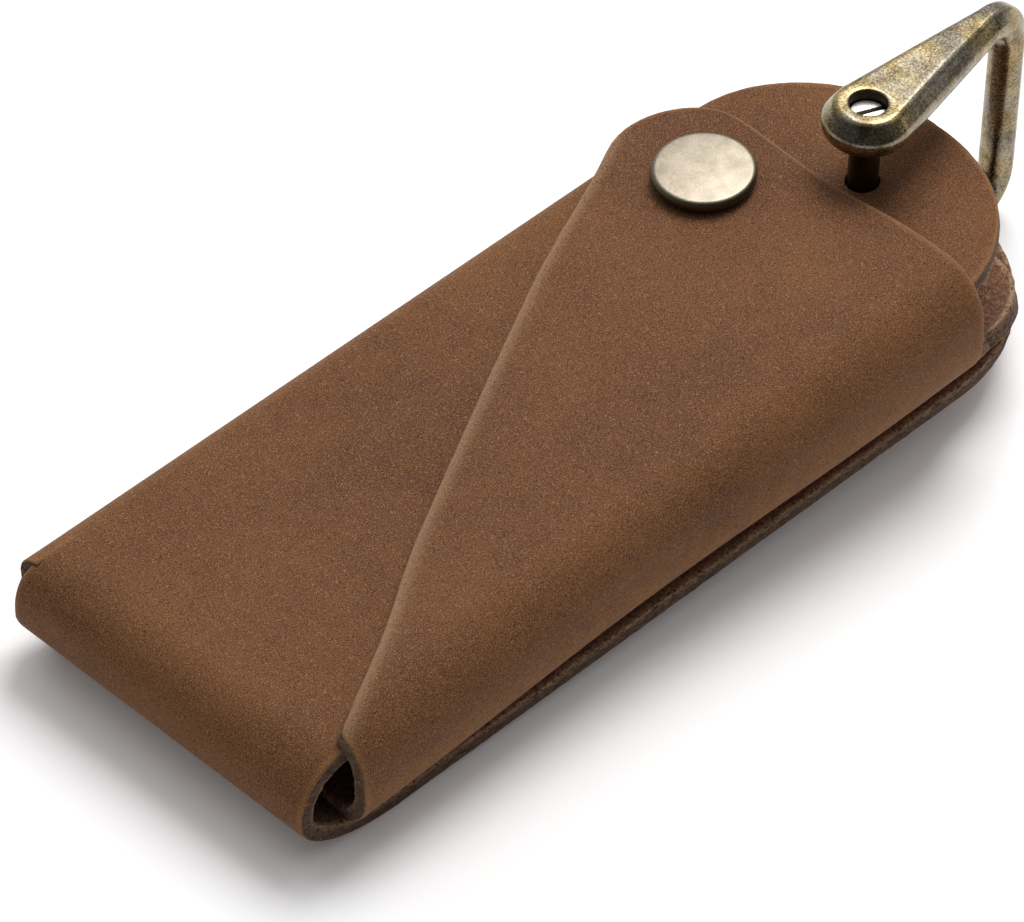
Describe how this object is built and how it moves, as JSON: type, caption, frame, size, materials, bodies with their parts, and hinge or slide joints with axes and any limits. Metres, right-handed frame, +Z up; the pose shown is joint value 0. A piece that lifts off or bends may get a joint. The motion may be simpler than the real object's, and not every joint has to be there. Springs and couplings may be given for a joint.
{
  "type": "leather key case",
  "caption": "Folded leather key case with a snap flap, held in a brass screw-pin shackle; the flap opens, the shackle swings and the pin draws out.",
  "frame": {"origin": "on the surface that it lies on, at the centre of its footprint", "axes": "+X along the case towards the shackle, +Y towards the long edge that the wing folds over at the back, +Z up, out of the flap's side"},
  "size_m": [0.1396, 0.0512, 0.0342],
  "materials": {
    "leather": "waxed nubuck, matt, paler where it bends",
    "aged_brass": "cast, tumbled and darkened",
    "dark_brass": "turned and blackened, polished slot",
    "pale_brass": "satin plated with a darkened rim",
    "nickel": "plated, satin"
  },
  "bodies": {
    "case": {"leather_wrap": "leather", "snap_stud": "nickel", "snap_eyelet": "nickel"},
    "flap": {"leather_flap": "leather", "snap_cap": "pale_brass", "snap_post": "nickel", "snap_socket": "nickel", "snap_spring": "nickel"},
    "shackle": {"shackle": "aged_brass"},
    "pin": {"shackle_pin": "dark_brass"}
  },
  "joints": [
    {"name": "flap_fold", "type": "hinge", "parent": "case", "child": "flap", "pos_m": [-0.06304, -0.01855, 0.01758], "axis": [0.9973, -0.0029, 0.074], "range_deg": [0, 175]},
    {"name": "shackle_swing", "type": "hinge", "parent": "case", "child": "shackle", "pos_m": [0.03997, -0.00075, 0], "axis": [0, 0, 1], "range_deg": [-86, 74]},
    {"name": "pin_draw", "type": "slide", "parent": "shackle", "child": "pin", "axis": [0, 0, 1], "range_m": [0, 0.0335]}
  ]
}
